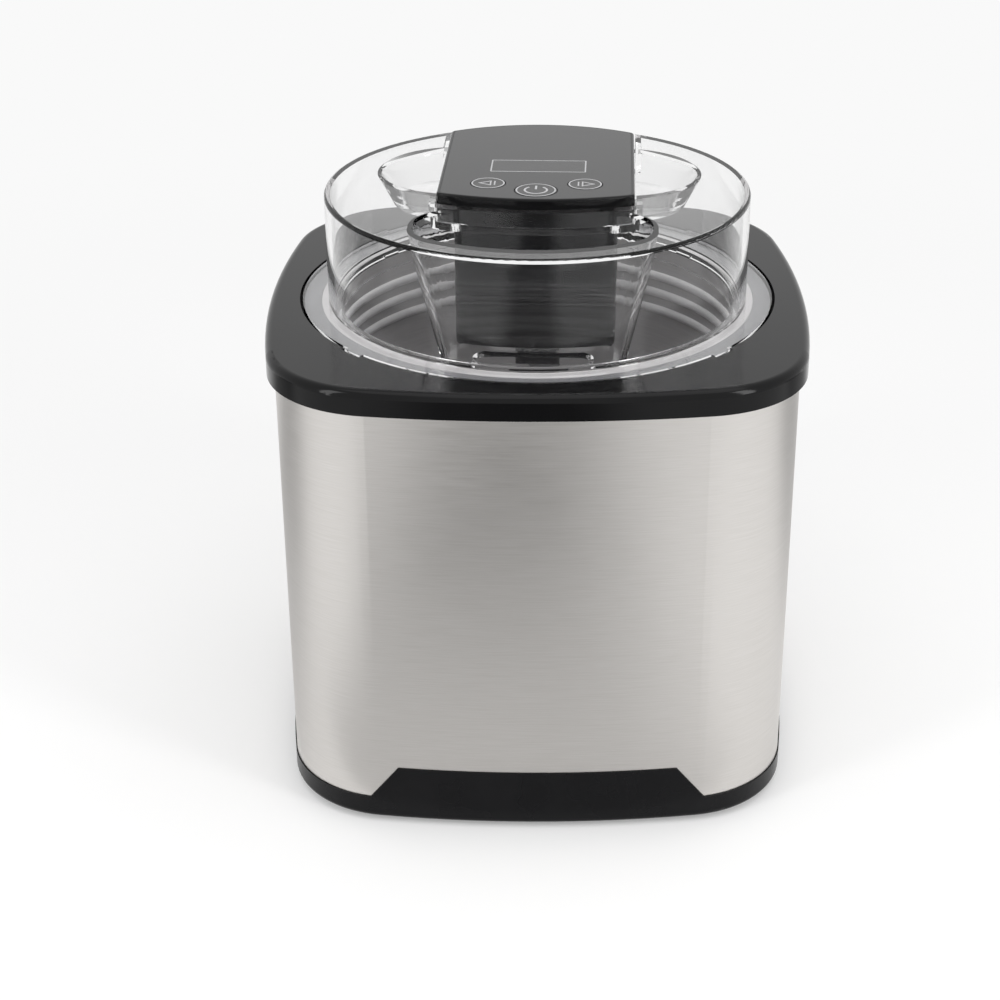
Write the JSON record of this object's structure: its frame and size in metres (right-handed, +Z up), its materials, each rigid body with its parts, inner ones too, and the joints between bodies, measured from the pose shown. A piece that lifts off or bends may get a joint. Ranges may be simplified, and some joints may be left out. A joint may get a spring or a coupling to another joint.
{
  "type": "ice cream maker",
  "caption": "Countertop ice cream maker: freezer canister in a steel-wrapped rounded-square body, clear drum lid with ingredient chute, and a lift-out motor unit that turns a paddle.",
  "frame": {"origin": "on the table under the middle of the body", "axes": "+Z up, -Y towards the front of the body, +X to the right seen from the front"},
  "size_m": [0.214, 0.214, 0.2362],
  "materials": {
    "black_base_plastic": "satin moulded",
    "foot_rubber": "matt",
    "screw_steel": "zinc plated",
    "wrap_steel": "brushed along the body",
    "black_gloss_plastic": "gloss moulded",
    "liner_plastic": "moulded",
    "bowl_aluminium": "anodised satin",
    "canister_plastic": "moulded",
    "coolant_gel": "frozen gel",
    "paddle_plastic": "moulded",
    "clear_plastic": "clear polished",
    "panel_film": "gloss laminate",
    "window_plastic": "smoked clear",
    "button_plastic": "gloss moulded",
    "circuit_board": "lacquered",
    "display_glass": "display cell",
    "switch_plastic": "moulded",
    "pod_plastic": "moulded",
    "gear_nylon": "moulded",
    "turned_steel": "ground",
    "bush_brass": "turned",
    "plate_steel": "stamped",
    "motor_steel": "drawn and plated"
  },
  "bodies": {
    "housing": {"base_tray": "black_base_plastic", "base_feet": "foot_rubber", "base_screws": "screw_steel", "steel_shell": "wrap_steel", "top_rim": "black_gloss_plastic", "rim_screws": "screw_steel", "inner_liner": "liner_plastic"},
    "canister": {"canister_bowl": "bowl_aluminium", "canister_jacket": "canister_plastic", "canister_coolant": "coolant_gel", "canister_collar": "canister_plastic"},
    "paddle": {"paddle": "paddle_plastic"},
    "lid": {"lid_cover": "clear_plastic"},
    "motor_unit": {"head_cover": "black_gloss_plastic", "control_panel": "panel_film", "display_window": "window_plastic", "display_module": "display_glass", "control_board": "circuit_board", "tact_switches": "switch_plastic", "board_screws": "screw_steel", "head_pod": "pod_plastic", "head_screws": "screw_steel", "cord_gland": "foot_rubber", "gear_plate": "plate_steel", "plate_screws": "screw_steel", "upper_bush": "bush_brass", "lower_bush": "bush_brass", "idler_pin": "turned_steel", "motor_can": "motor_steel", "motor_screws": "screw_steel"},
    "button_power": {"button_power": "button_plastic"},
    "button_left": {"button_left": "button_plastic"},
    "button_right": {"button_right": "button_plastic"},
    "output": {"output_gear": "gear_nylon", "drive_shaft": "turned_steel"},
    "idler": {"idler_gear": "gear_nylon"},
    "rotor": {"motor_shaft": "turned_steel", "motor_pinion": "bush_brass"}
  },
  "joints": [
    {"name": "canister_lift", "type": "slide", "parent": "housing", "child": "canister", "axis": [0, 0, 1], "range_m": [0, 0.17]},
    {"name": "paddle_spin", "type": "hinge", "parent": "canister", "child": "paddle", "pos_m": [0, 0, 0.045], "axis": [0, 0, 1], "continuous": true},
    {"name": "lid_lift", "type": "slide", "parent": "canister", "child": "lid", "axis": [0, 0, 1], "range_m": [0, 0.08]},
    {"name": "motor_unit_lift", "type": "slide", "parent": "lid", "child": "motor_unit", "axis": [0, 0, 1], "range_m": [0, 0.085]},
    {"name": "power_press", "type": "slide", "parent": "motor_unit", "child": "button_power", "axis": [0, 0, -1], "range_m": [0, 0.0008], "stiffness_N_per_m": 1500, "springref_m": -0.0005},
    {"name": "left_press", "type": "slide", "parent": "motor_unit", "child": "button_left", "axis": [0, 0, -1], "range_m": [0, 0.0008], "stiffness_N_per_m": 1500, "springref_m": -0.0005},
    {"name": "right_press", "type": "slide", "parent": "motor_unit", "child": "button_right", "axis": [0, 0, -1], "range_m": [0, 0.0008], "stiffness_N_per_m": 1500, "springref_m": -0.0005},
    {"name": "output_spin", "type": "hinge", "parent": "motor_unit", "child": "output", "pos_m": [0, 0, 0.18], "axis": [0, 0, 1], "continuous": true},
    {"name": "idler_spin", "type": "hinge", "parent": "motor_unit", "child": "idler", "pos_m": [0.00076, 0.02069, 0.184], "axis": [0, 0, 1], "continuous": true},
    {"name": "rotor_spin", "type": "hinge", "parent": "motor_unit", "child": "rotor", "pos_m": [0.00146, 0.03987, 0.2], "axis": [0, 0, 1], "continuous": true}
  ],
  "couplings": [
    {"joint": "output_spin", "follows": "paddle_spin", "ratio": 1},
    {"joint": "idler_spin", "follows": "paddle_spin", "ratio": -2.8333},
    {"joint": "rotor_spin", "follows": "paddle_spin", "ratio": 8.5}
  ]
}
